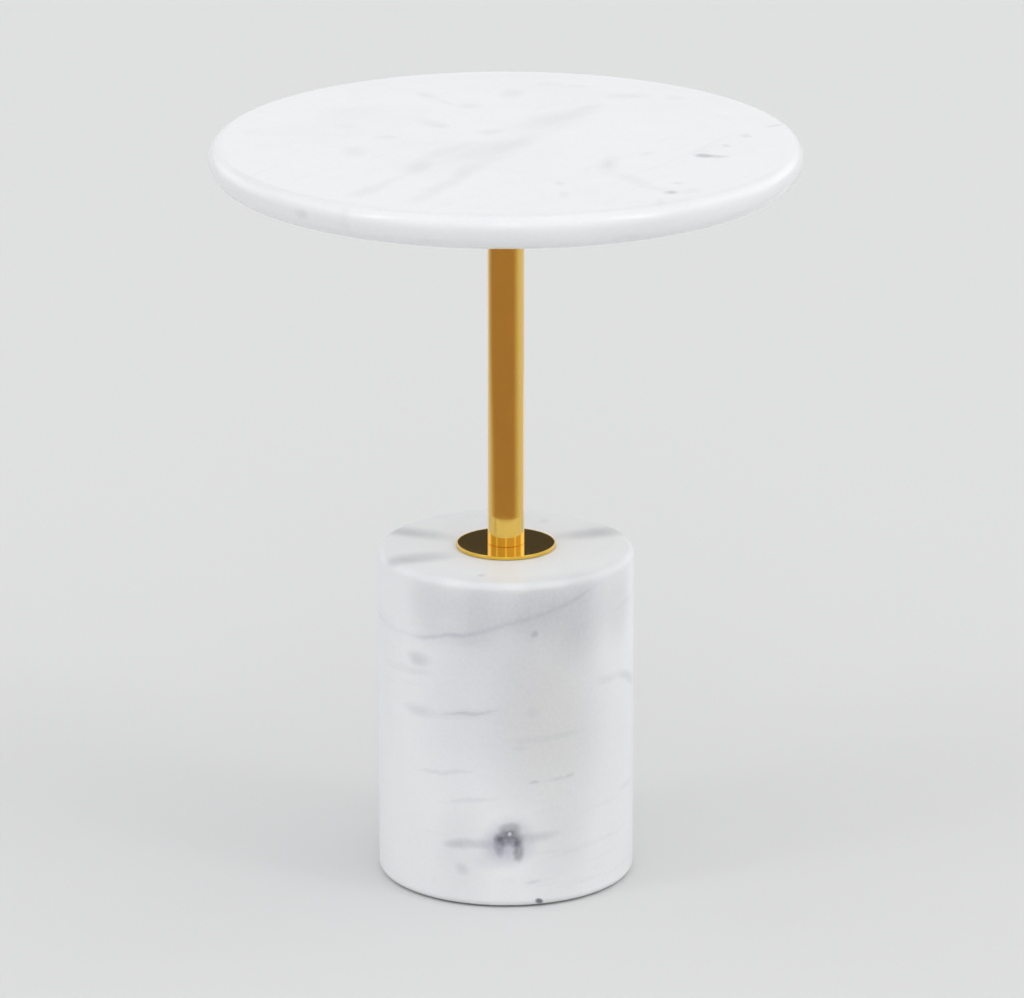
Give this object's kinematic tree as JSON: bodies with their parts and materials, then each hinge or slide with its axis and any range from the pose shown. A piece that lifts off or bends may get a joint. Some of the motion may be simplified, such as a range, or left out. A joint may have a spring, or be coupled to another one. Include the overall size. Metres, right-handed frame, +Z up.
{
  "type": "pedestal side table",
  "caption": "Small round side table: a marble top with a rounded edge on a slim polished brass tube with a flat flange, standing on a heavy marble cylinder with a felt underside.",
  "frame": {"origin": "centre of the felt underside, on the floor", "axes": "+Z up along the axis of the stem; the table is round, so +X and +Y are free apart from the four screws, which lie on the X and Y axes"},
  "size_m": [0.3999, 0.4, 0.5175],
  "materials": {
    "marble": "polished",
    "polished_brass": "polished",
    "turned_brass": "satin",
    "plated_steel": "satin",
    "coated_steel": "matte",
    "rubber": "matte",
    "felt": "matte"
  },
  "bodies": {
    "root": {"table_top": "marble", "base_block": "marble", "stem_tube": "polished_brass", "flange": "polished_brass", "centring_bush": "turned_brass", "top_hub": "turned_brass", "stone_inserts": "turned_brass", "tie_rod": "plated_steel", "base_nut": "plated_steel", "spring_washer": "plated_steel", "load_washer": "plated_steel", "plate_screws": "plated_steel", "top_plate": "coated_steel", "flange_gasket": "rubber", "plate_gasket": "rubber", "felt_disc": "felt"}
  },
  "joints": []
}
